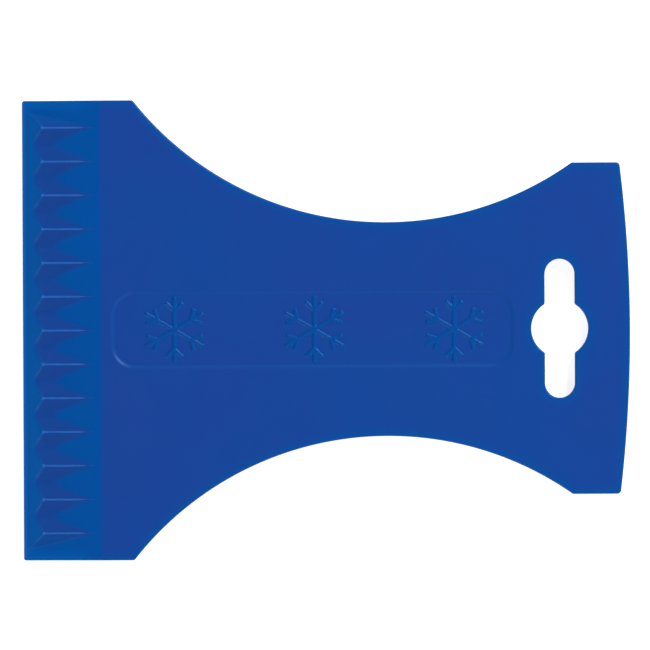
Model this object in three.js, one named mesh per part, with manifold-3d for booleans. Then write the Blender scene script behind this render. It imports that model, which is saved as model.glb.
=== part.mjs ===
// A card-shaped windshield ice scraper: a waisted plastic plate with a bevelled, ribbed blade at one
// end and a hanging slot at the other.
//
// Millimetres, +Z up. The scraper lies on its flat underside, with the origin under the middle of its
// bounding box. The parts are drawn with x as the distance from the cutting edge, and the group at
// the end moves them all back by half the length, so that +X runs from the blade to the hanging end.
import * as THREE from 'three';
import { mergeVertices } from 'three/addons/utils/BufferGeometryUtils.js';
import Module from 'manifold-3d';

const wasm = await Module();
wasm.setup();

// ---- Driving dimensions ------------------------------------------------------------------------

// Plate
const LENGTH = 140; // cutting edge to the tip of the hanging end
const THICKNESS = 4;
const RIM_ROUND = 0.4; // radius that takes the sharpness off the rim, above and below

// Blade
const BLADE_WIDTH = 106;
const BLADE_LENGTH = 18; // cutting edge to the crease where the bevel starts
const EDGE_THICKNESS = 0.8; // height of the blunt cutting edge
const TIP_ROUND = 0.5; // corner radius at the two ends of the cutting edge
const SHOULDER_ROUND = 0.7; // corner radius where the blade's side meets the waist

// Waist, a round hollow in each side for the palm and the fingers
const WAIST_WIDTH = 49.3;
const WAIST_RADIUS = 74.2;
const WAIST_X = 83.9; // narrowest place, from the cutting edge

// Hanging end
const HANDLE_WIDTH = 76.4;
const END_RADIUS = 316; // very shallow curve across the end
const END_ROUND = 0.9; // corner radius

// Hanging slot, of the standard pattern for display hooks: a cross slot with a round middle
const SLOT_X = 123.8;
const SLOT_LENGTH = 32;
const SLOT_WIDTH = 6.9;
const SLOT_EYE_RADIUS = 6.57;
const SLOT_CORNER_ROUND = 0.5;

// Shallow panel sunk in the top face
const PANEL_X = 66.8;
const PANEL_LENGTH = 92;
const PANEL_WIDTH = 17;
const PANEL_ROUND = 5;
const PANEL_DEPTH = 0.3;

// Raised snowflakes in the panel, each with six forked arms
const FLAKE_X = 67.2; // the middle one, from the cutting edge
const FLAKE_COUNT = 3;
const FLAKE_PITCH = 32.25;
const FLAKE_ARMS = 6;
const FLAKE_RADIUS = 7.8;
const FLAKE_STROKE = 1.1; // width of a stroke
const FLAKE_RELIEF = 0.25; // height of a stroke above the panel
const BRANCH_START = 4.4; // where an arm forks, from the snowflake's centre
const BRANCH_LENGTH = 2.85;
const BRANCH_ANGLE = 45; // degrees between a branch and its arm

// Ice-breaking ribs across the bevel
const RIB_COUNT = 13;
const RIB_PITCH = 7.79;
const RIB_FOOT = 0.8; // front end of a rib, from the cutting edge
const RIB_NOSE = 4.4; // front end of its crest
const RIB_TAIL = 15; // where the crest runs out into the bevel
const RIB_CREST_WIDTH = 0.5;
const RIB_MEETING = 7.4; // neighbouring ribs touch from here forwards

// Material colours and roughness
const BLADE_BLUE = 0x084f9d;
const PLATE_BLUE = 0x1b469a;
const RIB_BLUE = 0x1d4597;
const FLAKE_BLUE = 0x124a9c;
const BLADE_ROUGHNESS = 0.3;
const PLATE_ROUGHNESS = 0.35;

// Number of straight steps in each arc
const STEPS = {
  waist: 40, end: 8, corner: 4, eye: 5, slotCorner: 2, slotEnd: 4, panelCorner: 8, rim: 2,
};

const SAME_POINT = 1e-6; // points closer than this are one point
const WELD_DISTANCE = 1e-5; // vertices closer than this are welded into one
const CUTTER_EXCESS = 1; // how far a cutter reaches past the face that it cuts

// ---- Worked-out dimensions ---------------------------------------------------------------------

const BEVEL_SLOPE = (THICKNESS - EDGE_THICKNESS) / BLADE_LENGTH;
const waistCentre = new THREE.Vector2(WAIST_X, WAIST_WIDTH / 2 + WAIST_RADIUS);
const endCentre = new THREE.Vector2(LENGTH - END_RADIUS, 0);

// Height of the bevel at a distance from the cutting edge.
function bevelHeight(x) {
  return EDGE_THICKNESS + BEVEL_SLOPE * x;
}

// ---- Outlines ----------------------------------------------------------------------------------

// Points of an arc between two angles in degrees, both ends included.
function arc(centre, radius, from, to, steps) {
  const points = [];
  for (let i = 0; i <= steps; i += 1) {
    const angle = THREE.MathUtils.degToRad(from + ((to - from) * i) / steps);
    points.push(new THREE.Vector2(Math.cos(angle), Math.sin(angle)).multiplyScalar(radius).add(centre));
  }
  return points;
}

// Direction from one point to another, in degrees.
function bearing(from, to) {
  return THREE.MathUtils.radToDeg(Math.atan2(to.y - from.y, to.x - from.x));
}

// The centre at height y that lies at a distance from another centre, on its -X or +X side.
function centreBeside(other, distance, y, side) {
  return new THREE.Vector2(other.x + side * Math.sqrt(distance ** 2 - (y - other.y) ** 2), y);
}

// A line of points followed by its mirror image, walked back, without repeated points.
function withMirrorImage(points, scaleX, scaleY) {
  const image = points.map((p) => new THREE.Vector2(p.x * scaleX, p.y * scaleY)).reverse();
  const all = [...points, ...image];
  return all.filter((p, i) => p.distanceTo(all[(i + 1) % all.length]) > SAME_POINT);
}

// Half of the plate's outline, from the cutting edge along the +Y side to the tip.
function plateHalfOutline() {
  const bladeSide = BLADE_WIDTH / 2;
  const handleSide = HANDLE_WIDTH / 2;
  const tip = new THREE.Vector2(TIP_ROUND, bladeSide - TIP_ROUND);
  const shoulder = centreBeside(
    waistCentre, WAIST_RADIUS + SHOULDER_ROUND, bladeSide - SHOULDER_ROUND, -1,
  );
  const heel = centreBeside(
    waistCentre, WAIST_RADIUS + SHOULDER_ROUND, handleSide - SHOULDER_ROUND, 1,
  );
  const end = centreBeside(endCentre, END_RADIUS - END_ROUND, handleSide - END_ROUND, 1);
  const toShoulder = bearing(shoulder, waistCentre);
  const toHeel = bearing(heel, waistCentre);
  const toEnd = bearing(endCentre, end);
  return [
    ...arc(tip, TIP_ROUND, 180, 90, STEPS.corner),
    ...arc(shoulder, SHOULDER_ROUND, 90, toShoulder, STEPS.corner),
    ...arc(waistCentre, WAIST_RADIUS, toShoulder + 180, toHeel + 180, STEPS.waist),
    ...arc(heel, SHOULDER_ROUND, toHeel, 90, STEPS.corner),
    ...arc(end, END_ROUND, 90, toEnd, STEPS.corner),
    ...arc(endCentre, END_RADIUS, toEnd, 0, STEPS.end),
  ];
}

// The hanging slot's outline about its own centre, from one quarter of it.
function slotOutline() {
  const side = SLOT_WIDTH / 2;
  const cornerX = side + SLOT_CORNER_ROUND;
  const cornerY = Math.sqrt((SLOT_EYE_RADIUS + SLOT_CORNER_ROUND) ** 2 - cornerX ** 2);
  const centre = new THREE.Vector2(0, 0);
  const corner = new THREE.Vector2(cornerX, cornerY);
  const toCorner = bearing(centre, corner);
  const quarter = [
    ...arc(centre, SLOT_EYE_RADIUS, 0, toCorner, STEPS.eye),
    ...arc(corner, SLOT_CORNER_ROUND, 180 + toCorner, 180, STEPS.slotCorner),
    ...arc(new THREE.Vector2(0, SLOT_LENGTH / 2 - side), side, 0, 90, STEPS.slotEnd),
  ];
  return withMirrorImage(withMirrorImage(quarter, -1, 1), 1, -1);
}

function roundedRectangle(length, width, round) {
  const corner = new THREE.Vector2(length / 2 - round, width / 2 - round);
  const quarter = arc(corner, round, 0, 90, STEPS.panelCorner);
  return withMirrorImage(withMirrorImage(quarter, -1, 1), 1, -1);
}

// ---- Solids ------------------------------------------------------------------------------------

// A closed geometry as a solid that can be joined and cut.
function toSolid(geometry) {
  const bare = geometry.clone();
  bare.deleteAttribute('normal');
  bare.deleteAttribute('uv');
  const merged = mergeVertices(bare, WELD_DISTANCE);
  return new wasm.Manifold(new wasm.Mesh({
    numProp: 3,
    vertProperties: new Float32Array(merged.attributes.position.array),
    triVerts: new Uint32Array(merged.index.array),
  }));
}

function toGeometry(solid) {
  const mesh = solid.getMesh();
  const geometry = new THREE.BufferGeometry();
  geometry.setAttribute('position', new THREE.BufferAttribute(mesh.vertProperties, 3));
  geometry.setIndex(new THREE.BufferAttribute(mesh.triVerts, 1));
  geometry.computeVertexNormals();
  return geometry;
}

// A box given by two opposite corners.
function boxBetween(low, high) {
  const size = high.map((value, i) => value - low[i]);
  const middle = high.map((value, i) => (value + low[i]) / 2);
  return toSolid(new THREE.BoxGeometry(...size).translate(...middle));
}

// A flat outline raised from one height to another.
function prism(points, bottom, top) {
  const geometry = new THREE.ExtrudeGeometry(new THREE.Shape(points), {
    depth: top - bottom,
    bevelEnabled: false,
  });
  return toSolid(geometry.translate(0, 0, bottom));
}

// A side profile, points of x and z, drawn out along Y to both sides of the middle.
function profileAcross(points, width) {
  const geometry = new THREE.ExtrudeGeometry(new THREE.Shape(points), {
    depth: width,
    bevelEnabled: false,
  });
  return toSolid(geometry.rotateX(Math.PI / 2).translate(0, width / 2, 0));
}

// The whole plate with its rounded rim and its hanging slot, before the bevel and the panel.
function plateBlank() {
  const shape = new THREE.Shape(withMirrorImage(plateHalfOutline(), 1, -1));
  const slot = slotOutline().map((p) => p.add(new THREE.Vector2(SLOT_X, 0)));
  shape.holes.push(new THREE.Path(slot));
  const geometry = new THREE.ExtrudeGeometry(shape, {
    depth: THICKNESS - 2 * RIM_ROUND,
    bevelThickness: RIM_ROUND,
    bevelSize: RIM_ROUND,
    bevelOffset: -RIM_ROUND,
    bevelSegments: STEPS.rim,
  });
  return toSolid(geometry.translate(0, 0, RIM_ROUND));
}

// ---- Sub-parts ---------------------------------------------------------------------------------

// The bevelled strip: flat below, and sloping down from the crease to the cutting edge.
function makeBlade(blank) {
  const profile = [
    new THREE.Vector2(0, 0),
    new THREE.Vector2(BLADE_LENGTH, 0),
    new THREE.Vector2(BLADE_LENGTH, THICKNESS),
    new THREE.Vector2(0, EDGE_THICKNESS),
  ];
  return blank.intersect(profileAcross(profile, BLADE_WIDTH));
}

// The waisted plate behind the crease, with the sunk panel and the hanging slot.
function makeHandlePlate(blank) {
  const side = BLADE_WIDTH / 2;
  const behindCrease = boxBetween([BLADE_LENGTH, -side, 0], [LENGTH, side, THICKNESS]);
  const panel = prism(
    roundedRectangle(PANEL_LENGTH, PANEL_WIDTH, PANEL_ROUND),
    THICKNESS - PANEL_DEPTH,
    THICKNESS + CUTTER_EXCESS,
  );
  return blank.intersect(behindCrease).subtract(panel.translate([PANEL_X, 0, 0]));
}

// One rib, about y = 0: a ridge with a level crest that stands taller as the bevel falls away from
// under it, cut off in front by a slope that runs down to just behind the cutting edge.
function makeRib() {
  const crest = bevelHeight(RIB_TAIL);
  const side = [
    new THREE.Vector2(RIB_FOOT, bevelHeight(RIB_FOOT)),
    new THREE.Vector2(RIB_TAIL, crest),
    new THREE.Vector2(RIB_NOSE, crest),
  ];
  const half = RIB_PITCH / 2;
  const valley = bevelHeight(RIB_MEETING);
  const roof = [
    new THREE.Vector2(-half, 0),
    new THREE.Vector2(half, 0),
    new THREE.Vector2(half, valley),
    new THREE.Vector2(RIB_CREST_WIDTH / 2, crest),
    new THREE.Vector2(-RIB_CREST_WIDTH / 2, crest),
    new THREE.Vector2(-half, valley),
  ];
  const ridge = new THREE.ExtrudeGeometry(new THREE.Shape(roof), {
    depth: BLADE_LENGTH,
    bevelEnabled: false,
  });
  ridge.rotateX(Math.PI / 2).rotateZ(Math.PI / 2);
  return profileAcross(side, RIB_PITCH).intersect(toSolid(ridge));
}

// One straight stroke of a snowflake, from a point, in a direction in degrees. It starts half a
// stroke's width before the point, so that strokes that meet there leave no notch.
function makeStroke(x, y, direction, length) {
  const half = FLAKE_STROKE / 2;
  const geometry = new THREE.BoxGeometry(length + half, FLAKE_STROKE, FLAKE_RELIEF);
  geometry.translate((length + half) / 2 - half, 0, THICKNESS - PANEL_DEPTH + FLAKE_RELIEF / 2);
  geometry.rotateZ(THREE.MathUtils.degToRad(direction));
  return toSolid(geometry.translate(x, y, 0));
}

// One snowflake, about its own centre: six arms, each with a pair of branches.
function makeSnowflake() {
  const strokes = [];
  for (let arm = 0; arm < FLAKE_ARMS; arm += 1) {
    const direction = 90 + (360 * arm) / FLAKE_ARMS;
    const angle = THREE.MathUtils.degToRad(direction);
    const forkX = BRANCH_START * Math.cos(angle);
    const forkY = BRANCH_START * Math.sin(angle);
    strokes.push(makeStroke(0, 0, direction, FLAKE_RADIUS));
    strokes.push(makeStroke(forkX, forkY, direction + BRANCH_ANGLE, BRANCH_LENGTH));
    strokes.push(makeStroke(forkX, forkY, direction - BRANCH_ANGLE, BRANCH_LENGTH));
  }
  return strokes.reduce((whole, stroke) => whole.add(stroke));
}

// ---- Assembly ----------------------------------------------------------------------------------

function plastic(color, roughness) {
  return new THREE.MeshStandardMaterial({ color, roughness, metalness: 0 });
}

function namedMesh(name, solid, material) {
  const mesh = new THREE.Mesh(toGeometry(solid), material);
  mesh.name = name;
  return mesh;
}

// Places of a row of copies, evenly about zero.
function evenly(count, pitch) {
  return Array.from({ length: count }, (_, i) => (i - (count - 1) / 2) * pitch);
}

const scraper = new THREE.Group();
scraper.position.x = -LENGTH / 2;

const blank = plateBlank();
scraper.add(namedMesh('blade', makeBlade(blank), plastic(BLADE_BLUE, BLADE_ROUGHNESS)));
scraper.add(namedMesh('handle_plate', makeHandlePlate(blank), plastic(PLATE_BLUE, PLATE_ROUGHNESS)));

const ribs = new THREE.Group();
evenly(RIB_COUNT, RIB_PITCH).forEach((y, i) => {
  const name = `ice_rib_${String(i + 1).padStart(2, '0')}`;
  const rib = namedMesh(name, makeRib(), plastic(RIB_BLUE, BLADE_ROUGHNESS));
  rib.position.y = y;
  ribs.add(rib);
});
scraper.add(ribs);

const flakes = new THREE.Group();
flakes.position.x = FLAKE_X;
evenly(FLAKE_COUNT, FLAKE_PITCH).forEach((x, i) => {
  const material = plastic(FLAKE_BLUE, PLATE_ROUGHNESS);
  const flake = namedMesh(`snowflake_${i + 1}`, makeSnowflake(), material);
  flake.position.x = x;
  flakes.add(flake);
});
scraper.add(flakes);

export default scraper;
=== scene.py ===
"""The looks of a card-shaped windshield ice scraper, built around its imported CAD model.

The real scraper is one blue plastic moulding. Each CAD node is replaced by a finely rounded mesh of
the same size, and all of them ride on the one rigid body. Units are metres, in the CAD model's frame:
+X from the cutting edge to the hanging end, +Z up from the flat underside.
"""
import math

import bmesh
import bpy
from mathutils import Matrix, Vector


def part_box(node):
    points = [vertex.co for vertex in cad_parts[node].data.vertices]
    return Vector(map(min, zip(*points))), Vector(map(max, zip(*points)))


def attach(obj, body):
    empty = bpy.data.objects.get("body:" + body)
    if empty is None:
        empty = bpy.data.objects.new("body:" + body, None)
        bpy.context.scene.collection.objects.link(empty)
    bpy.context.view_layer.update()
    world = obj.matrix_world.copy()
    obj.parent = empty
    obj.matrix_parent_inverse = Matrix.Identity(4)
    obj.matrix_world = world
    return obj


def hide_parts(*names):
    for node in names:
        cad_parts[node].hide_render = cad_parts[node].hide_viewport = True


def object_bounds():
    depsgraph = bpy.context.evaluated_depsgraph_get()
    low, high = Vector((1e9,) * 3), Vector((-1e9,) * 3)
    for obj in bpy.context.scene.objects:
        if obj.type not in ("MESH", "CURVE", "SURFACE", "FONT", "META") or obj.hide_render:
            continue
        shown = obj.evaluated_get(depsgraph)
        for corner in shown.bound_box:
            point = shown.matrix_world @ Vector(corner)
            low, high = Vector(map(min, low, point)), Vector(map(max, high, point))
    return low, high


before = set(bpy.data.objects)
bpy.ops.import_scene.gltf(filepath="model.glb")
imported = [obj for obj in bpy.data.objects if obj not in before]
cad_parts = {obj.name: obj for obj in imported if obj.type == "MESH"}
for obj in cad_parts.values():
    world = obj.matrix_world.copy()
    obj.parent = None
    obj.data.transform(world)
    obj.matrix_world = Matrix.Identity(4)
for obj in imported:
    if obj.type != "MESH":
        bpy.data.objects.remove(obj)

MM = 0.001
cad_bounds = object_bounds()

# ---- Sizes -------------------------------------------------------------------------------------

# Read from the CAD model
EDGE_X = cad_bounds[0].x                      # the cutting edge
TIP_X = cad_bounds[1].x                       # the middle of the hanging end
TOP_Z = cad_bounds[1].z
CREASE_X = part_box("blade")[1].x               # where the bevel starts
BLADE_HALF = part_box("blade")[1].y             # half of the blade's width
RIB_NAMES = sorted(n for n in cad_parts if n.startswith("ice_rib"))
RIB_MIDDLES = [sum(c.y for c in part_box(n)) / 2 for n in RIB_NAMES]
RIB_PITCH = RIB_MIDDLES[1] - RIB_MIDDLES[0]
RIB_FOOT_X, RIB_TAIL_X = (c.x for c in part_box(RIB_NAMES[0]))
CREST_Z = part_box(RIB_NAMES[0])[1].z

# The same driving dimensions as the CAD model's, where a node's box doesn't give them
EDGE_Z = 0.8 * MM                             # height of the cutting edge
RIM_ROUND = 0.4 * MM
TIP_ROUND = 0.5 * MM
SHOULDER_ROUND = 0.7 * MM
END_ROUND = 0.9 * MM
WAIST_RADIUS = 74.2 * MM
WAIST = Vector((EDGE_X + 83.9 * MM, 24.65 * MM + WAIST_RADIUS))
HANDLE_HALF = 38.2 * MM
END_RADIUS = 316 * MM
END = Vector((TIP_X - END_RADIUS, 0))
SLOT_X = EDGE_X + 123.8 * MM
SLOT_HALF_LENGTH = 16 * MM
SLOT_HALF_WIDTH = 3.45 * MM
SLOT_EYE = 6.57 * MM                          # radius of the slot's round middle
SLOT_CORNER = 0.5 * MM
PANEL_X = EDGE_X + 66.8 * MM
PANEL_HALF_LENGTH = 46 * MM
PANEL_HALF_WIDTH = 8.5 * MM
PANEL_ROUND = 5 * MM
PANEL_DEPTH = 0.3 * MM
RIB_NOSE_X = EDGE_X + 4.4 * MM                # front end of a rib's crest

# Details that only the looks need
EDGE_ROUND = 0.15 * MM                        # the cutting edge is crisper than the rim
PANEL_WALL = 1.2 * MM                         # width of the panel's softly sloping wall
PARTING_Z = 1.5 * MM                          # height of the groove that the mould's halves leave
PARTING_DEPTH = 0.03 * MM
PARTING_HALF = 0.08 * MM                      # half of the groove's height

# Number of straight steps in each arc, line and profile
STEPS = {
    "shoulder": 10, "waist": 120, "heel": 8, "end_corner": 12, "end": 24,
    "blade_side": 24, "blade_corner": 8, "blade_rim": 5,
    "eye": 16, "slot_corner": 6, "slot_end": 14,
    "panel_corner": 14, "panel_wall": 8, "rim": 6,
}
SAME_POINT = 1e-7                             # points closer than this are one point

BEVEL_SLOPE = (TOP_Z - EDGE_Z) / (CREASE_X - EDGE_X)


def bevel_z(x):
    """Height of the bevel's plane."""
    return EDGE_Z + BEVEL_SLOPE * (x - EDGE_X)


# ---- Outlines: lists of (point, outward normal), both flat vectors -------------------------------

def arc(centre, radius, start, stop, steps, facing=1):
    """Points of an arc between two angles. facing is -1 where the material lies outside the arc."""
    walk = []
    for i in range(steps + 1):
        angle = start + (stop - start) * i / steps
        out = Vector((math.cos(angle), math.sin(angle)))
        walk.append((centre + out * radius, out * facing))
    return walk


def bearing(start, stop):
    return math.atan2(stop.y - start.y, stop.x - start.x)


def beside(other, distance, y, side):
    """The centre at height y that lies at a distance from another centre, on its -X or +X side."""
    return Vector((other.x + side * math.sqrt(distance ** 2 - (y - other.y) ** 2), y))


def mirrored(walk, sx, sy):
    """A walk's mirror image, walked backwards."""
    flip = Vector((sx, sy))
    return [(point * flip, normal * flip) for point, normal in reversed(walk)]


def joined(*walks):
    """Walks put end to end, without repeating a point where they meet."""
    whole = []
    for step in (s for walk in walks for s in walk):
        if not whole or (step[0] - whole[-1][0]).length > SAME_POINT:
            whole.append(step)
    return whole


def closed(walk):
    """A walk without its last point, where that point repeats the first."""
    return walk[:-1] if (walk[0][0] - walk[-1][0]).length < SAME_POINT else walk


def handle_walk():
    """The plate's rim behind the crease, from the crease's +Y end round to its -Y end."""
    shoulder = beside(WAIST, WAIST_RADIUS + SHOULDER_ROUND, BLADE_HALF - SHOULDER_ROUND, -1)
    heel = beside(WAIST, WAIST_RADIUS + SHOULDER_ROUND, HANDLE_HALF - SHOULDER_ROUND, 1)
    end = beside(END, END_RADIUS - END_ROUND, HANDLE_HALF - END_ROUND, 1)
    up = math.pi / 2
    to_shoulder, to_heel = bearing(shoulder, WAIST), bearing(heel, WAIST)
    to_end = bearing(END, end)
    half = joined(
        [(Vector((CREASE_X, BLADE_HALF)), Vector((0, 1)))],
        arc(shoulder, SHOULDER_ROUND, up, to_shoulder, STEPS["shoulder"]),
        arc(WAIST, WAIST_RADIUS, to_shoulder + math.pi, to_heel + math.pi, STEPS["waist"], facing=-1),
        arc(heel, SHOULDER_ROUND, to_heel, up, STEPS["heel"]),
        arc(end, END_ROUND, up, to_end, STEPS["end_corner"]),
        arc(END, END_RADIUS, to_end, 0, STEPS["end"]),
    )
    return joined(half, mirrored(half, 1, -1))


def blade_walk():
    """The blade's rim, from the crease's -Y end round the cutting edge to its +Y end."""
    corner = Vector((EDGE_X + TIP_ROUND, BLADE_HALF - TIP_ROUND))
    steps = STEPS["blade_side"]
    side = [
        (Vector((CREASE_X + (corner.x - CREASE_X) * i / steps, BLADE_HALF)), Vector((0, 1)))
        for i in range(steps + 1)
    ]
    half = joined(side, arc(corner, TIP_ROUND, math.pi / 2, math.pi, STEPS["blade_corner"]))
    return joined(half, mirrored(half, 1, -1))


def slot_walk():
    """The hanging slot's rim, from one quarter of it."""
    corner_x = SLOT_HALF_WIDTH + SLOT_CORNER
    corner = Vector((corner_x, math.sqrt((SLOT_EYE + SLOT_CORNER) ** 2 - corner_x ** 2)))
    middle = Vector((0, 0))
    end = Vector((0, SLOT_HALF_LENGTH - SLOT_HALF_WIDTH))
    to_corner = bearing(middle, corner)
    quarter = joined(
        arc(middle, SLOT_EYE, 0, to_corner, STEPS["eye"], facing=-1),
        arc(corner, SLOT_CORNER, math.pi + to_corner, math.pi, STEPS["slot_corner"]),
        arc(end, SLOT_HALF_WIDTH, 0, math.pi / 2, STEPS["slot_end"], facing=-1),
    )
    half = joined(quarter, mirrored(quarter, -1, 1))
    whole = closed(joined(half, mirrored(half, 1, -1)))
    return [(point + Vector((SLOT_X, 0)), normal) for point, normal in whole]


def panel_walk():
    """The sunk panel's rim. Its material lies outside, so the normals point inwards."""
    corner = Vector((PANEL_HALF_LENGTH - PANEL_ROUND, PANEL_HALF_WIDTH - PANEL_ROUND))
    quarter = arc(corner, PANEL_ROUND, 0, math.pi / 2, STEPS["panel_corner"], facing=-1)
    half = joined(quarter, mirrored(quarter, -1, 1))
    whole = closed(joined(half, mirrored(half, 1, -1)))
    return [(point + Vector((PANEL_X, 0)), normal) for point, normal in whole]


# ---- Mesh helpers --------------------------------------------------------------------------------

def link(thing):
    bpy.context.scene.collection.objects.link(thing)


def ring(bm, walk, inset, z):
    """A row of vertices along a walk, moved into the material by inset, at height z."""
    return [bm.verts.new((p.x - n.x * inset, p.y - n.y * inset, z)) for p, n in walk]


def strips(bm, rings, loop):
    """Faces between each two neighbouring rings."""
    count = len(rings[0])
    for lower, upper in zip(rings, rings[1:]):
        for i in range(count if loop else count - 1):
            j = (i + 1) % count
            bm.faces.new((lower[i], lower[j], upper[j], upper[i]))


def fill(bm, *loops):
    """One flat face, cut into triangles, between an outer loop and the holes in it."""
    edges = []
    for loop in loops:
        for a, b in zip(loop, loop[1:] + loop[:1]):
            edges.append(bm.edges.get((a, b)) or bm.edges.new((a, b)))
    bmesh.ops.triangle_fill(bm, use_beauty=True, use_dissolve=False, edges=edges)


def quarter_round(radius, steps):
    """Steps of a quarter circle as (inset, depth below the top) pairs, from the side to the top."""
    turn = [math.pi / 2 * i / steps for i in range(steps + 1)]
    return [(radius * (1 - math.cos(a)), radius * (1 - math.sin(a))) for a in turn]


def make_piece(name, bm, material):
    """Turns a finished bmesh into a smooth-shaded object."""
    bmesh.ops.recalc_face_normals(bm, faces=bm.faces)
    mesh = bpy.data.meshes.new(name)
    bm.to_mesh(mesh)
    bm.free()
    mesh.shade_smooth()
    mesh.materials.append(material)
    piece = bpy.data.objects.new(name, mesh)
    link(piece)
    even = piece.modifiers.new("even_normals", "WEIGHTED_NORMAL")
    even.keep_sharp = True
    even.weight = 100
    return piece


def stand_for(piece, node):
    """The piece shows in place of a CAD node, and rides on the scraper's one body."""
    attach(piece, "root")
    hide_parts(node)


def sharpen(face):
    for edge in face.edges:
        edge.smooth = False


# ---- Handle plate ----------------------------------------------------------------------------------

def rim_profile():
    """The plate's rim as (inset, z) pairs from the underside to the top, with a parting groove."""
    turn = quarter_round(RIM_ROUND, STEPS["rim"])
    below = turn[::-1]
    groove = [
        (0, PARTING_Z - PARTING_HALF), (PARTING_DEPTH, PARTING_Z), (0, PARTING_Z + PARTING_HALF),
    ]
    above = [(inset, TOP_Z - depth) for inset, depth in turn]
    return below + groove + above


def panel_profile():
    """The panel's wall as (inset, z) pairs from the top face down to the panel's floor."""
    steps = STEPS["panel_wall"]
    pairs = []
    for i in range(steps + 1):
        u = i / steps
        sink = u * u * (3 - 2 * u)
        pairs.append((PANEL_WALL * (0.5 - u), TOP_Z - PANEL_DEPTH * sink))
    return pairs


def make_handle_plate(material):
    bm = bmesh.new()
    outer = [ring(bm, handle_walk(), inset, z) for inset, z in rim_profile()]
    slot = [ring(bm, slot_walk(), inset, z) for inset, z in rim_profile()]
    panel = [ring(bm, panel_walk(), inset, z) for inset, z in panel_profile()]
    strips(bm, outer, loop=False)
    strips(bm, slot, loop=True)
    strips(bm, panel, loop=True)
    fill(bm, outer[0], slot[0])
    fill(bm, outer[-1], slot[-1], panel[0])
    fill(bm, panel[-1])
    crease_wall = [r[0] for r in outer] + [r[-1] for r in reversed(outer)]
    sharpen(bm.faces.new(crease_wall))
    return make_piece("handle", bm, material)


# ---- Blade -----------------------------------------------------------------------------------------

def blade_row(bm, walk, turn, top):
    """A row of the blade's rim, at an angle of its upper or lower rounding."""
    row = []
    for point, normal in walk:
        share = (point.x - EDGE_X) / (CREASE_X - EDGE_X)
        radius = EDGE_ROUND + (RIM_ROUND - EDGE_ROUND) * share
        flat = point - normal * radius * (1 - math.cos(turn))
        depth = radius * (1 - math.sin(turn))
        z = bevel_z(flat.x) - depth if top else depth
        row.append(bm.verts.new((flat.x, flat.y, z)))
    return row


def make_blade(material):
    bm = bmesh.new()
    walk = blade_walk()
    steps = STEPS["blade_rim"]
    rises = [math.pi / 2 * i / steps for i in range(steps + 1)]
    rings = [blade_row(bm, walk, math.pi / 2 - rise, top=False) for rise in rises]
    rings += [blade_row(bm, walk, rise, top=True) for rise in rises]
    strips(bm, rings, loop=False)
    fill(bm, rings[0])
    fill(bm, rings[-1])
    crease_wall = [r[0] for r in rings] + [r[-1] for r in reversed(rings)]
    sharpen(bm.faces.new(crease_wall))
    return make_piece("blade_strip", bm, material)


# ---- Ribs ------------------------------------------------------------------------------------------

FLANK_SLOPE = 0.45
CREST_HALF = 0.25 * MM
FREE_SIDE = 1.0 * MM                          # from the crest, where an outer rib's free side steepens
FREE_SLOPE = 0.8
FREE_ROUND = 0.5 * MM                         # height over which that corner is rounded
FRONT_SLOPE = (CREST_Z - bevel_z(RIB_FOOT_X)) / (RIB_NOSE_X - RIB_FOOT_X)
VALLEY_ROUND = 1.5 * MM                       # how far from the valley's middle its rounding reaches
KNOB_HEIGHT = 0.1 * MM                        # of the small knob at the front end of each crest
KNOB_RADIUS = 0.38 * MM
KNOB_SETBACK = 0.25 * MM                      # from the front end of the crest to the knob's middle
BEAD_SHARE = 0.75                             # height of the bead behind the knob, next to the knob's
BEAD_HALF = 0.24 * MM
BEAD_END_X = EDGE_X + 14.8 * MM
BEAD_TAIL = 1.8 * MM                          # length over which the bead narrows to its tip
BEAD_TIP = 0.01                               # width of the tip, next to the bead's
FRONT_ROUND = 0.04 * MM                       # rounding between a crest and the rib's front slope
FRONT_SPREAD = 0.2                            # how it grows towards a valley, per metre from the crest
FOOT_BLEND = 0.12 * MM                        # height over which a rib's foot melts into the bevel
BLEND_GROWTH = 3.0 * MM                       # length behind the foot over which that doubles
SUNK = 0.05 * MM                              # how far a rib's skin dips under the bevel beyond it
RIB_BOTTOM = 0.15 * MM                        # depth of a rib's underside below the bevel
SKIN_AHEAD = 0.4 * MM                         # how far the skin reaches in front of the rib's foot
SKIN_BEHIND = 1.5 * MM                        # how far it reaches behind the rib's tail


def smooth_min(a, b, width):
    """The lower of two heights, with the corner between them rounded."""
    overlap = max(width - abs(a - b), 0)
    return min(a, b) - overlap * overlap / (4 * width)


def roof_z(across, outer):
    """Height of a rib's roof at a distance across from its crest. outer is true on a free side."""
    half = RIB_PITCH / 2
    if outer:
        near = CREST_Z - FLANK_SLOPE * max(across - CREST_HALF, 0)
        far = CREST_Z - FLANK_SLOPE * (FREE_SIDE - CREST_HALF) - FREE_SLOPE * (across - FREE_SIDE)
        return smooth_min(near, far, FREE_ROUND)
    u = max(half - across, 0)
    valley = CREST_Z - FLANK_SLOPE * (half - CREST_HALF - VALLEY_ROUND / 2)
    if u < VALLEY_ROUND:
        return valley + FLANK_SLOPE * u * u / (2 * VALLEY_ROUND)
    return min(valley + FLANK_SLOPE * (u - VALLEY_ROUND / 2), CREST_Z)


def crest_bead(x, across):
    """The fine bead on a crest, from 0 to 1, with a round knob in front and a pointed tail."""
    width = BEAD_HALF * min(max((BEAD_END_X - x) / BEAD_TAIL, BEAD_TIP), 1)
    side = max(1 - (across / width) ** 2, 0) if x > RIB_NOSE_X else 0
    from_knob = math.hypot(x - RIB_NOSE_X - KNOB_SETBACK, across)
    knob = max(1 - (from_knob / KNOB_RADIUS) ** 2, 0)
    return max(BEAD_SHARE * side ** 0.5, knob ** 0.5)


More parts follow.
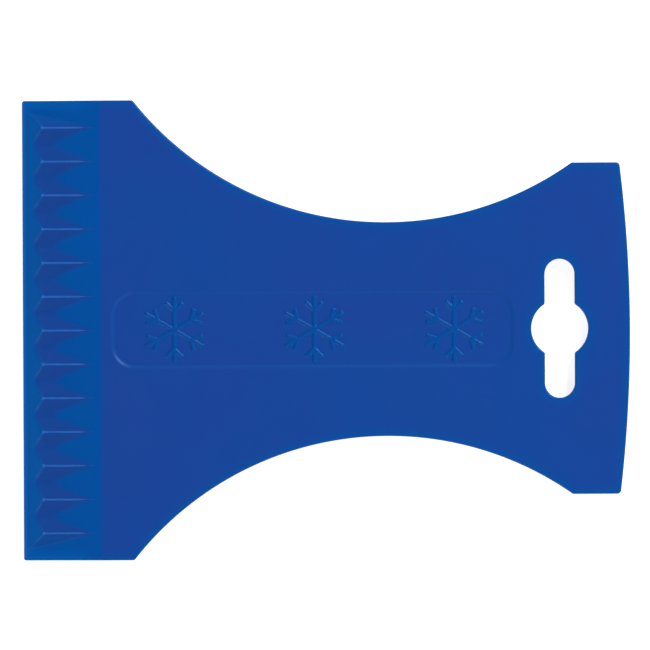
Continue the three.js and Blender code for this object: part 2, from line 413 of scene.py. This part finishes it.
def rib_skin_z(x, across, outer):
    """Height of a rib's skin: its roof, cut off in front, and melting into the bevel at its foot."""
    front = bevel_z(RIB_FOOT_X) + FRONT_SLOPE * (x - RIB_FOOT_X)
    roof = roof_z(across, outer) + KNOB_HEIGHT * crest_bead(x, across)
    body = smooth_min(roof, front, FRONT_ROUND + (0 if outer else FRONT_SPREAD * across))
    bevel = bevel_z(x)
    rise = body - bevel
    blend = FOOT_BLEND * (1 + min(max((x - RIB_FOOT_X) / BLEND_GROWTH, 0), 1))
    if rise > blend:
        return body
    if rise > -blend:
        return bevel + (rise + blend) ** 2 / (4 * blend)
    return bevel - SUNK * min((-blend - rise) / blend, 1)


def spaced(start, stop, step):
    """Even places from start to stop, about a step apart."""
    count = max(round((stop - start) / step), 1)
    return [start + (stop - start) * i / count for i in range(count + 1)]


def rib_stations():
    """Places along a rib, closer together as far as its nose."""
    fine, coarse = 0.08 * MM, 0.25 * MM
    nose_end = RIB_NOSE_X + 1.0 * MM
    front = spaced(RIB_FOOT_X - SKIN_AHEAD, nose_end, fine)
    back = spaced(nose_end, RIB_TAIL_X + SKIN_BEHIND, coarse)
    return front + back[1:]


def rib_offsets():
    """Places across a rib, closer together at its crest."""
    fine, coarse = 0.045 * MM, 0.14 * MM
    fine_end = 0.45 * MM
    side = spaced(0, fine_end, fine) + spaced(fine_end, RIB_PITCH / 2, coarse)[1:]
    return [-offset for offset in reversed(side)] + side[1:]


def make_rib(index, material):
    """One rib. The first and the last have a free outer side, which runs out into the bevel."""
    low, high = index == 0, index == len(RIB_NAMES) - 1
    middle = RIB_MIDDLES[index]
    bm = bmesh.new()
    crest = bm.verts.layers.float.new("crest")
    grid = []
    for x in rib_stations():
        row = []
        for y in rib_offsets():
            outer = (low and y < 0) or (high and y > 0)
            vertex = bm.verts.new((x, middle + y, rib_skin_z(x, abs(y), outer)))
            # The bead's share also marks where the material paints the crest highlight
            vertex[crest] = crest_bead(x, abs(y))
            row.append(vertex)
        grid.append(row)
    strips(bm, grid, loop=False)
    columns = list(zip(*grid))
    border = [
        *grid[0], *columns[-1][1:], *reversed(grid[-1][:-1]), *reversed(columns[0][1:-1]),
    ]
    bottom = [bm.verts.new((v.co.x, v.co.y, bevel_z(v.co.x) - RIB_BOTTOM)) for v in border]
    strips(bm, [border, bottom], loop=True)
    bm.faces.new(bottom)
    for a, b in zip(border, border[1:] + border[:1]):
        bm.edges.get((a, b)).smooth = False
    return make_piece(f"rib_{index + 1:02d}", bm, material)


# ---- Snowflakes ------------------------------------------------------------------------------------

FLAKE_RADIUS = 7.8 * MM
FLAKE_HALF_STROKE = 0.55 * MM
FLAKE_RELIEF = 0.25 * MM
BRANCH_START = 4.4 * MM                       # where an arm forks, from the snowflake's centre
BRANCH_LENGTH = 2.85 * MM
BRANCH_ANGLE = math.radians(45)
FLAKE_CELL = 0.1 * MM
FLAKE_SLOPE = 0.38 * MM                       # width of a stroke's sloping side


def heading(angle):
    return Vector((math.cos(angle), math.sin(angle)))


def flake_strokes():
    """Start, direction and length of every stroke of a snowflake, about its own centre."""
    strokes = []
    for arm in range(6):
        angle = math.pi / 2 + arm * math.pi / 3
        fork = heading(angle) * BRANCH_START
        strokes.append((Vector((0, 0)), heading(angle), FLAKE_RADIUS))
        for side in (-1, 1):
            strokes.append((fork, heading(angle + side * BRANCH_ANGLE), BRANCH_LENGTH))
    return strokes


def depth_in_stroke(point, start, direction, length):
    """How far a point lies inside a stroke's square-ended outline, negative outside."""
    along = (point - start).dot(direction)
    across = abs((point - start).cross(direction))
    return min(FLAKE_HALF_STROKE - across, length - along, along + FLAKE_HALF_STROKE)


def flake_skin_z(point, strokes):
    """Height above the panel: a flat-topped ridge with softly sloping sides along each stroke."""
    depth = max(depth_in_stroke(point, *stroke) for stroke in strokes)
    share = min(max(depth / FLAKE_SLOPE, 0), 1)
    if depth > 0:
        return FLAKE_RELIEF * (1 - (1 - share) ** 2)
    return -SUNK * min(-depth / FLAKE_CELL, 1)


def make_flake(name, centre, material):
    """A snowflake as one closed skin over a square grid, kept only where the strokes run."""
    strokes = flake_strokes()
    floor = TOP_Z - PANEL_DEPTH
    cells = math.ceil(FLAKE_RADIUS / FLAKE_CELL) + 2
    bm = bmesh.new()
    top = {}
    for i in range(-cells, cells + 1):
        for j in range(-cells, cells + 1):
            point = Vector((i * FLAKE_CELL, j * FLAKE_CELL))
            height = flake_skin_z(point, strokes)
            if height > -SUNK:
                top[i, j] = bm.verts.new((centre.x + point.x, centre.y + point.y, floor + height))
    for (i, j) in list(top):
        corners = [top.get(key) for key in ((i, j), (i + 1, j), (i + 1, j + 1), (i, j + 1))]
        if all(corners):
            bm.faces.new(corners)
    loose = [v for v in bm.verts if not v.link_faces]
    bmesh.ops.delete(bm, geom=loose, context="VERTS")
    border = [e for e in bm.edges if e.is_boundary]
    grown = bmesh.ops.extrude_edge_only(bm, edges=border)["geom"]
    for v in (g for g in grown if isinstance(g, bmesh.types.BMVert)):
        v.co.z = floor - 2 * SUNK
    for e in border:
        e.smooth = False
    rims = [e for e in bm.edges if e.is_boundary]
    bmesh.ops.holes_fill(bm, edges=rims, sides=0)
    return make_piece(name, bm, material)


# ---- Materials -------------------------------------------------------------------------------------

def shade(red, green, blue):
    """A linear colour from a screen colour of 0 to 255."""
    shares = (value / 255 for value in (red, green, blue))
    return (*(s / 12.92 if s <= 0.04045 else ((s + 0.055) / 1.055) ** 2.4 for s in shares), 1.0)


# One blue plastic, and the painted light and shade that it shows in different places
# Painted light: lighter on sloping faces, with a painted glow near a rim; also the blade's base shade
SLOPE_AND_RIM_LIGHT = shade(4, 73, 149)                     # where it slopes, and near a rim
# Painted light near the blade's rims, and on the ribs' front slopes, which the lamps leave darker
THIN_PART_LIGHT = shade(4, 84, 163)                      # near the blade's rims, and on the ribs' front slopes
# Real wear and scratches, and the painted highlight along the ribs' crests
WORN_AND_HIGHLIGHT = shade(42, 104, 184)                    # where it is rubbed
SHEEN = (0.4, 0.7, 1.0, 1.0)                  # colour of its reflections

# The two shades that each piece drifts between elsewhere
PLATE_SHADES = (shade(25, 62, 141), shade(19, 65, 143))
# The blade's shades are painted light, lighter than the plate's blue where the bevel tilts
BLADE_SHADES = (SLOPE_AND_RIM_LIGHT, shade(3, 76, 152))
# The ribs' shades are a painted shade on their flanks, darker than the blade around them
RIB_SHADES = (shade(21, 61, 137), shade(18, 62, 138))
# The snowflakes' shades are painted light on their raised strokes, lighter and tealer than the plate
FLAKE_SHADES = (shade(9, 67, 143), shade(5, 70, 145))

# Sizes of the plastic's markings, and of its painted light and shade
DRIFT_SIZE = 34 * MM                          # slow changes of colour
MOTTLE_SIZE = 2.4 * MM
SMUDGE_SIZE = 11 * MM
RIPPLE_SIZE = 14 * MM                         # slow waves of the moulded surface
GRAIN_SIZE = 0.35 * MM
NICK_SIZE = 0.5 * MM
# Size of the breaks along the painted crest highlight
CREST_HIGHLIGHT_SIZE = 1.1 * MM
SCRATCH_WIDTH = 0.1 * MM
SCRATCH_STRETCH = (60, 1, 1)
SCRATCH_TURNS = (4, -23)                      # degrees between the scratches and X
RIM_GLOW = (0.4 * MM, 3.0 * MM)               # how far from a rim its glow begins to fade, and ends
EDGE_WEAR = (0.1 * MM, 1.1 * MM)              # the same for the wear behind the cutting edge
EDGE_RAGGED = 0.25 * MM                       # how far that wear's border wanders
# Behind here the painted light near the blade's rims fades out
THIN_PART_LIGHT_FADE_X = EDGE_X + 11 * MM                # behind here the thin shade fades towards the crease
# The ribs' painted flank shade fades over these heights
FLANK_FADE = 0.3 * MM                         # height over which a flank's shade fades at its foot
FRONT_FADE = 0.7 * MM                         # the same where a flank meets the front slope
STEEP, LEVEL = 0.89, 0.99                     # normals, in Z, that count as sloping and as flat

# How strongly the markings and the painted light and shade show, from 0 to 1
MOTTLE = 0.1
# Strength of the painted light on sloping faces
SLOPE_TINT = 0.9
# Strength of the painted glow near a rim
RIM_TINT = 0.75
# Strength of the painted light near the blade's rims
THIN_PART_LIGHT_TINT = 0.85
OUTER_TINT = 0.4                              # what an outer rib's free side keeps of a flank's shade
EDGE_RUB = 0.2
# Strength of the painted crest highlight where it is faintest
FAINTEST_CREST_HIGHLIGHT = 0.6                               # wear of a crest where it is least rubbed
SCRATCH_TINT = 0.12

# The plastic's shine
BASE_ROUGHNESS = 0.32
SMUDGE_ROUGHNESS = 0.06                       # how far a smudge changes it
SCRATCH_ROUGHNESS = 0.1                       # what a scratch adds to it
RIPPLE_SHARE = 12.0                           # height of the ripples, next to the grain's


class Nodes:
    """Short calls for building one node tree. Most of them give back an output socket."""

    def __init__(self, tree):
        self.tree = tree

    def add(self, kind, **settings):
        """A new node, with these settings."""
        node = self.tree.nodes.new(kind)
        for key, value in settings.items():
            setattr(node, key, value)
        return node

    def feed(self, socket, value):
        """Sets a socket to a constant, or links it to another node's output."""
        if isinstance(value, bpy.types.NodeSocket):
            self.tree.links.new(value, socket)
        else:
            socket.default_value = value

    def maths(self, operation, *values):
        node = self.add("ShaderNodeMath", operation=operation)
        for socket, value in zip(node.inputs, values):
            self.feed(socket, value)
        return node.outputs[0]

    def length(self, x, y):
        squares = self.maths("ADD", self.maths("POWER", x, 2.0), self.maths("POWER", y, 2.0))
        return self.maths("SQRT", squares)

    def ramp(self, value, low, high, to_low=0.0, to_high=1.0):
        """A smooth step from to_low to to_high as value goes from low to high."""
        node = self.add("ShaderNodeMapRange", interpolation_type="SMOOTHSTEP")
        for socket, item in zip(node.inputs, (value, low, high, to_low, to_high)):
            self.feed(socket, item)
        return node.outputs[0]

    def split(self, vector):
        node = self.add("ShaderNodeSeparateXYZ")
        self.feed(node.inputs[0], vector)
        return node.outputs

    def noise(self, vector, size, detail=3.0, stretch=(1, 1, 1), turn=0.0):
        """Noise from -1 to 1 with features about size metres across, longer where stretched.

        turn is the angle in degrees of the stretched axes about Z.
        """
        mapping = self.add("ShaderNodeMapping", vector_type="TEXTURE")
        self.feed(mapping.inputs["Vector"], vector)
        mapping.inputs["Rotation"].default_value = (0, 0, math.radians(turn))
        mapping.inputs["Scale"].default_value = [size * factor for factor in stretch]
        node = self.add("ShaderNodeTexNoise")
        self.feed(node.inputs["Vector"], mapping.outputs[0])
        node.inputs["Scale"].default_value = 1.0
        node.inputs["Detail"].default_value = detail
        return self.maths("MULTIPLY_ADD", node.outputs["Fac"], 2.0, -1.0)

    def scratches(self, vector, turn):
        """A few fine straight lines at an angle to X, 1 on a line and 0 away from it."""
        streaks = self.noise(vector, SCRATCH_WIDTH, 0.0, SCRATCH_STRETCH, turn)
        faintest, full = 0.45, 0.7
        return self.ramp(streaks, faintest, full)

    def mix(self, share, first, second):
        node = self.add("ShaderNodeMix", data_type="RGBA")
        for name, value in (("Factor_Float", share), ("A_Color", first), ("B_Color", second)):
            self.feed(next(socket for socket in node.inputs if socket.identifier == name), value)
        return next(socket for socket in node.outputs if socket.identifier == "Result_Color")


def rim_distance(nodes, x, y):
    """Distance from the scraper's outline and its slot, in metres. y is without its sign."""
    waist_x = nodes.maths("SUBTRACT", x, WAIST.x)
    waist_y = nodes.maths("SUBTRACT", y, WAIST.y)
    from_waist = nodes.maths("SUBTRACT", nodes.length(waist_x, waist_y), WAIST_RADIUS)
    end_x = nodes.maths("SUBTRACT", x, END.x)
    from_end = nodes.maths("SUBTRACT", END_RADIUS, nodes.length(end_x, y))
    behind_waist = nodes.maths("GREATER_THAN", x, WAIST.x)
    half_width = nodes.maths("MULTIPLY_ADD", behind_waist, HANDLE_HALF - BLADE_HALF, BLADE_HALF)
    from_side = nodes.maths("SUBTRACT", half_width, y)
    slot_x = nodes.maths("SUBTRACT", x, SLOT_X)
    from_eye = nodes.maths("SUBTRACT", nodes.length(slot_x, y), SLOT_EYE)
    straight = SLOT_HALF_LENGTH - SLOT_HALF_WIDTH
    beyond = nodes.maths("MAXIMUM", nodes.maths("SUBTRACT", y, straight), 0.0)
    from_slot = nodes.maths("SUBTRACT", nodes.length(slot_x, beyond), SLOT_HALF_WIDTH)
    nearest = nodes.maths("SUBTRACT", x, EDGE_X)
    for other in (from_waist, from_end, from_side, from_eye, from_slot):
        nearest = nodes.maths("MINIMUM", nearest, other)
    return nearest


def near_rim_share(nodes, position):
    """1 at a rim, fading to 0 where its glow ends."""
    x, y, _ = nodes.split(position)
    from_rim = rim_distance(nodes, x, nodes.maths("ABSOLUTE", y))
    return nodes.ramp(from_rim, *RIM_GLOW, 1.0, 0.0)


def mottled(nodes, position, share):
    """A share from 0 to 1 with slight blotches."""
    mottle = nodes.noise(position, MOTTLE_SIZE, detail=4.0)
    share = nodes.maths("MULTIPLY_ADD", mottle, MOTTLE, share)
    return nodes.maths("MINIMUM", nodes.maths("MAXIMUM", share, 0.0), 1.0)


def slope_and_rim_light_share(nodes, near_rim):
    """How much a piece shows its painted light: lighter where it slopes, and a painted glow near a
    rim.
    """
    normal_z = nodes.split(nodes.add("ShaderNodeNewGeometry").outputs["Normal"])[2]
    sloping = nodes.ramp(nodes.maths("ABSOLUTE", normal_z), STEEP, LEVEL, SLOPE_TINT, 0.0)
    glow = nodes.maths("MULTIPLY", nodes.maths("POWER", near_rim, 2.0), RIM_TINT)
    return nodes.maths("MAXIMUM", sloping, glow)


def rib_shares(nodes, position):
    """How much a place shows the ribs' painted flank shade, and the front slopes' painted light, with
    soft edges.

    The heights are those of rib_skin_z, worked out for all ribs at once by folding Y at each crest
    and valley.
    """
    x, y, _ = nodes.split(position)
    half = RIB_PITCH / 2
    across = nodes.maths("PINGPONG", nodes.maths("SUBTRACT", y, RIB_MIDDLES[0]), half)
    flank = nodes.maths("MULTIPLY_ADD", across, -FLANK_SLOPE, CREST_Z + FLANK_SLOPE * CREST_HALF)
    in_valley = nodes.maths("MAXIMUM", nodes.maths("SUBTRACT", across, half - VALLEY_ROUND), 0.0)
    lift = nodes.maths("MULTIPLY", in_valley, FLANK_SLOPE / (2 * VALLEY_ROUND))
    roof = nodes.maths("MULTIPLY_ADD", in_valley, lift, flank)
    from_last = nodes.maths("SUBTRACT", nodes.maths("ABSOLUTE", y), RIB_MIDDLES[-1])
    past = nodes.maths("MAXIMUM", nodes.maths("SUBTRACT", from_last, FREE_SIDE), 0.0)
    roof = nodes.maths("MULTIPLY_ADD", past, FLANK_SLOPE - FREE_SLOPE, roof)

    bevel = nodes.maths("MULTIPLY_ADD", x, BEVEL_SLOPE, bevel_z(0))
    front_at_0 = bevel_z(RIB_FOOT_X) - FRONT_SLOPE * RIB_FOOT_X
    front = nodes.maths("MULTIPLY_ADD", x, FRONT_SLOPE, front_at_0)
    above_bevel = nodes.ramp(nodes.maths("SUBTRACT", roof, bevel), -FLANK_FADE, FLANK_FADE)
    behind_front = nodes.ramp(nodes.maths("SUBTRACT", front, roof), -FRONT_FADE, FRONT_FADE)

    # An outer rib's free side shows less of the painted shade, and the blade's plain ends show none
    inside = nodes.ramp(from_last, CREST_HALF, 4 * CREST_HALF, 1.0, OUTER_TINT)
    beside = nodes.ramp(from_last, half / 2, half, 1.0, 0.0)
    # The painted flank shade: darker where a rib stands above the bevel and behind its front slope
    flank_shade = nodes.maths("MULTIPLY", above_bevel, behind_front)
    flank_shade = nodes.maths("MULTIPLY", flank_shade, nodes.maths("MULTIPLY", inside, beside))
    # The second share marks the front slopes, which get painted light
    return flank_shade, nodes.maths("SUBTRACT", 1.0, behind_front)


def thin_part_light_share(nodes, position, near_rim):
    """How much the blade shows the painted light of its thin parts: near its rims."""
    before_crease = nodes.ramp(nodes.split(position)[0], THIN_PART_LIGHT_FADE_X, CREASE_X, 1.0, 0.0)
    return nodes.maths("MULTIPLY", nodes.maths("MULTIPLY", near_rim, before_crease), THIN_PART_LIGHT_TINT)


def wear_and_highlight_share(nodes, position, crest):
    """How much the plastic is rubbed pale just behind the cutting edge, and how much it shows a
    painted highlight along the crests.
    """
    from_edge = nodes.maths("SUBTRACT", nodes.split(position)[0], EDGE_X)
    nicks = nodes.noise(position, NICK_SIZE, stretch=(1, 0.4, 1))
    ragged = nodes.maths("MULTIPLY_ADD", nicks, EDGE_RAGGED, from_edge)
    share = nodes.ramp(ragged, *EDGE_WEAR, EDGE_RUB, 0.0)
    if crest:
        # Along the crests the lighter shade is a painted highlight, broken up by noise
        bead = nodes.add("ShaderNodeAttribute", attribute_name="crest").outputs["Fac"]
        highlight_breaks = nodes.noise(position, CREST_HIGHLIGHT_SIZE, stretch=(2, 1, 1))
        crest_highlight = nodes.maths("MULTIPLY", bead, nodes.ramp(highlight_breaks, -0.8, 0.3, FAINTEST_CREST_HIGHLIGHT, 1.0))
        share = nodes.maths("MAXIMUM", share, crest_highlight)
    return share


def base_colour(nodes, position, shades, ribbed, crest):
    """The plastic's shade in each place, with its painted light and shade, before wear and the painted
    crest highlight.
    """
    drift = nodes.ramp(nodes.noise(position, DRIFT_SIZE, detail=2.0), -0.5, 0.5)
    near_rim = near_rim_share(nodes, position)
    colour = nodes.mix(drift, *shades)
    if not ribbed:
        painted_light = mottled(nodes, position, slope_and_rim_light_share(nodes, near_rim))
        # Painted light on sloping faces and near the rims
        return nodes.mix(painted_light, colour, SLOPE_AND_RIM_LIGHT)
    flank, front = rib_shares(nodes, position)
    flank = mottled(nodes, position, flank)
    # Painted light near the blade's rims
    thin_part_light = thin_part_light_share(nodes, position, near_rim)
    if crest:
        # On the ribs, the front slopes get the painted light too
        thin_part_light = nodes.maths("MAXIMUM", thin_part_light, front)
    # Painted shade on the flanks, and painted light near the blade's rims and on the front slopes
    return nodes.mix(thin_part_light, nodes.mix(flank, colour, nodes.mix(drift, *RIB_SHADES)), THIN_PART_LIGHT)


def moulded_plastic(name, shades, scuffs, ribbed=False, crest=False):
    """Semi-gloss moulded plastic.

    scuffs is how strong its fine scratches are. ribbed is true for the blade and its ribs, and crest
    for a mesh that marks its crests in an attribute of that name.
    """
    material = bpy.data.materials.new(name)
    material.use_nodes = True
    shader = material.node_tree.nodes["Principled BSDF"]
    nodes = Nodes(material.node_tree)
    position = nodes.add("ShaderNodeTexCoord").outputs["Object"]
    scratches = nodes.maths("MAXIMUM", *(nodes.scratches(position, turn) for turn in SCRATCH_TURNS))

    scratched = nodes.maths("MULTIPLY", scratches, SCRATCH_TINT * scuffs)
    colour = base_colour(nodes, position, shades, ribbed, crest)
    # Rubbed pale behind the cutting edge, and a painted highlight along the crests
    colour = nodes.mix(wear_and_highlight_share(nodes, position, crest), colour, WORN_AND_HIGHLIGHT)
    nodes.feed(shader.inputs["Base Color"], nodes.mix(scratched, colour, WORN_AND_HIGHLIGHT))

    smudge = nodes.noise(position, SMUDGE_SIZE, detail=4.0)
    rough = nodes.maths("MULTIPLY_ADD", smudge, SMUDGE_ROUGHNESS, BASE_ROUGHNESS)
    rough = nodes.maths("MULTIPLY_ADD", scratches, SCRATCH_ROUGHNESS * scuffs, rough)
    nodes.feed(shader.inputs["Roughness"], rough)

    ripple = nodes.noise(position, RIPPLE_SIZE, detail=1.0)
    grain = nodes.noise(position, GRAIN_SIZE, detail=2.0)
    height = nodes.maths("MULTIPLY_ADD", ripple, RIPPLE_SHARE, grain)
    bump = nodes.add("ShaderNodeBump")
    bump.inputs["Strength"].default_value = 0.3
    bump.inputs["Distance"].default_value = 0.003 * MM
    nodes.feed(bump.inputs["Height"], height)
    nodes.feed(shader.inputs["Normal"], bump.outputs[0])
    shader.inputs["IOR"].default_value = 1.5
    shader.inputs["Specular IOR Level"].default_value = 0.17
    shader.inputs["Specular Tint"].default_value = SHEEN
    return material


# ---- Stage -----------------------------------------------------------------------------------------

VIEW_WIDTH = 149.75 * MM                      # what the picture spans at the top face
VIEW_MIDDLE = (-0.31 * MM, 1.0 * MM)          # the place in the middle of the picture
VIEW_TURN = math.radians(-0.273)
LENS = 500.0
SENSOR = 36.0
FLOOR_RADIUS = 12.0
FLOOR_GAP = 0.02 * MM                         # keeps the floor clear of the scraper's underside
FLOOR_TONES = (0.42, 0.44)                    # greys that the floor drifts between
TONE_SIZE = 30 * MM
GLOW_RADII = (0.1, 0.6)                       # where the floor's glow starts to grow, and stops
GLOW = (0.86, 1.0)                            # its strength at those two places
ROOM_RISE = (0.05, 0.6)                       # how high a direction points as the room darkens
ROOM_LIGHT = (0.2, 0.02)                      # the room's strength at those two heights


def make_camera():
    """High above the scraper, with the cutting edge on the left."""
    data = bpy.data.cameras.new("camera")
    data.lens = LENS
    data.sensor_width = SENSOR
    data.clip_start = 0.01
    data.clip_end = 50
    camera = bpy.data.objects.new("camera", data)
    camera.location = (*VIEW_MIDDLE, TOP_Z + VIEW_WIDTH * LENS / SENSOR)
    camera.rotation_euler = (0, 0, VIEW_TURN)
    link(camera)
    bpy.context.scene.camera = camera


def make_floor():
    """A wide white sheet that glows a little, like a lit table, so that shadows stay faint."""
    material = bpy.data.materials.new("floor")
    material.use_nodes = True
    nodes = Nodes(material.node_tree)
    shader = material.node_tree.nodes["Principled BSDF"]
    position = nodes.add("ShaderNodeTexCoord").outputs["Object"]
    drift = nodes.ramp(nodes.noise(position, TONE_SIZE), -1.0, 1.0)
    sheet = nodes.mix(drift, *((tone, tone, tone, 1) for tone in FLOOR_TONES))
    nodes.feed(shader.inputs["Base Color"], sheet)
    x, y, _ = nodes.split(position)
    glow = nodes.ramp(nodes.length(x, y), *GLOW_RADII, *GLOW)
    nodes.feed(shader.inputs["Emission Strength"], glow)
    shader.inputs["Emission Color"].default_value = (1, 1, 1, 1)
    shader.inputs["Roughness"].default_value = 0.9
    shader.inputs["Specular IOR Level"].default_value = 0.1
    bm = bmesh.new()
    bmesh.ops.create_circle(bm, cap_ends=True, segments=96, radius=FLOOR_RADIUS)
    mesh = bpy.data.meshes.new("floor")
    bm.to_mesh(mesh)
    bm.free()
    mesh.materials.append(material)
    floor = bpy.data.objects.new("floor", mesh)
    floor.location.z = -FLOOR_GAP
    link(floor)


def make_softbox(name, azimuth, elevation, distance, size, power):
    """A square soft light that faces the scraper. Azimuth is from +X towards +Y."""
    data = bpy.data.lights.new(name, "AREA")
    data.shape = "SQUARE"
    data.size = size
    data.energy = power
    light = bpy.data.objects.new(name, data)
    turn, rise = math.radians(azimuth), math.radians(elevation)
    out = Vector((math.cos(turn) * math.cos(rise), math.sin(turn) * math.cos(rise), math.sin(rise)))
    light.location = out * distance
    light.rotation_euler = out.to_track_quat("Z", "Y").to_euler()
    light.visible_camera = False
    link(light)


def make_world():
    """A pale room that is dark overhead, so that level faces seen from above don't shine."""
    world = bpy.data.worlds.new("room")
    bpy.context.scene.world = world
    world.use_nodes = True
    nodes = Nodes(world.node_tree)
    background = world.node_tree.nodes["Background"]
    _, _, up = nodes.split(nodes.add("ShaderNodeTexCoord").outputs["Generated"])
    lit = nodes.ramp(up, *ROOM_RISE, *ROOM_LIGHT)
    seen = nodes.add("ShaderNodeLightPath").outputs["Is Camera Ray"]
    background.inputs["Color"].default_value = (1, 1, 1, 1)
    nodes.feed(background.inputs["Strength"], nodes.maths("MAXIMUM", seen, lit))


make_camera()
make_floor()
make_world()
make_softbox("key_right", azimuth=50, elevation=44, distance=2.2, size=0.7, power=57.0)
make_softbox("fill_right", azimuth=303, elevation=42, distance=2.2, size=1.5, power=13.0)
make_softbox("fill_left", azimuth=231, elevation=24, distance=2.4, size=1.8, power=34.0)
bpy.context.scene.view_settings.view_transform = "Standard"

# ---- Assembly --------------------------------------------------------------------------------------

body_plastic = moulded_plastic("body_plastic", PLATE_SHADES, scuffs=0.4)
flake_plastic = moulded_plastic("flake_plastic", FLAKE_SHADES, scuffs=0.4)
blade_plastic = moulded_plastic("blade_plastic", BLADE_SHADES, scuffs=1.0, ribbed=True)
rib_plastic = moulded_plastic("rib_plastic", BLADE_SHADES, scuffs=1.0, ribbed=True, crest=True)

stand_for(make_handle_plate(body_plastic), "handle_plate")
stand_for(make_blade(blade_plastic), "blade")
for index, node in enumerate(RIB_NAMES):
    stand_for(make_rib(index, rib_plastic), node)
for number in (1, 2, 3):
    node = f"snowflake_{number}"
    low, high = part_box(node)
    stand_for(make_flake(f"flake_{number}", (low + high) / 2, flake_plastic), node)
